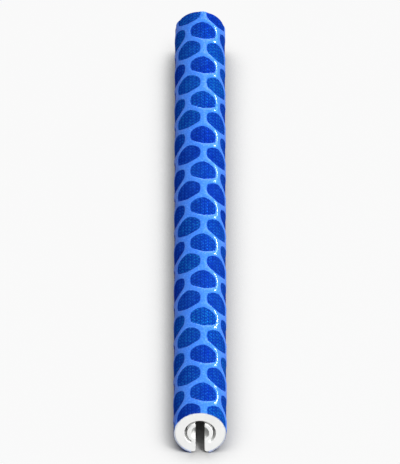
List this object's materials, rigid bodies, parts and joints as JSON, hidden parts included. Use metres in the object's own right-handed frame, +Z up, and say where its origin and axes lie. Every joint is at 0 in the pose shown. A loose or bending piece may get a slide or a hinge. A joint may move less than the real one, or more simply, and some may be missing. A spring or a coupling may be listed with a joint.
{
  "type": "bicycle spoke reflector",
  "caption": "Slim split plastic tube that snaps over a wheel spoke between two sprung lips, wrapped in blue honeycomb retroreflective film.",
  "frame": {"origin": "on the spoke's axis, at the middle of the tube's length", "axes": "+Y along the spoke, +Z up and away from the slit, which faces down; +X to the right"},
  "size_m": [0.006, 0.075, 0.0058],
  "materials": {
    "white_plastic": "white extruded plastic, satin, with square-cut ends",
    "blue_film": "glossy blue retroreflective film with dark cells between lighter honeycomb ribs"
  },
  "bodies": {
    "root": {"clip_tube": "white_plastic", "reflective_film": "blue_film"}
  },
  "joints": []
}
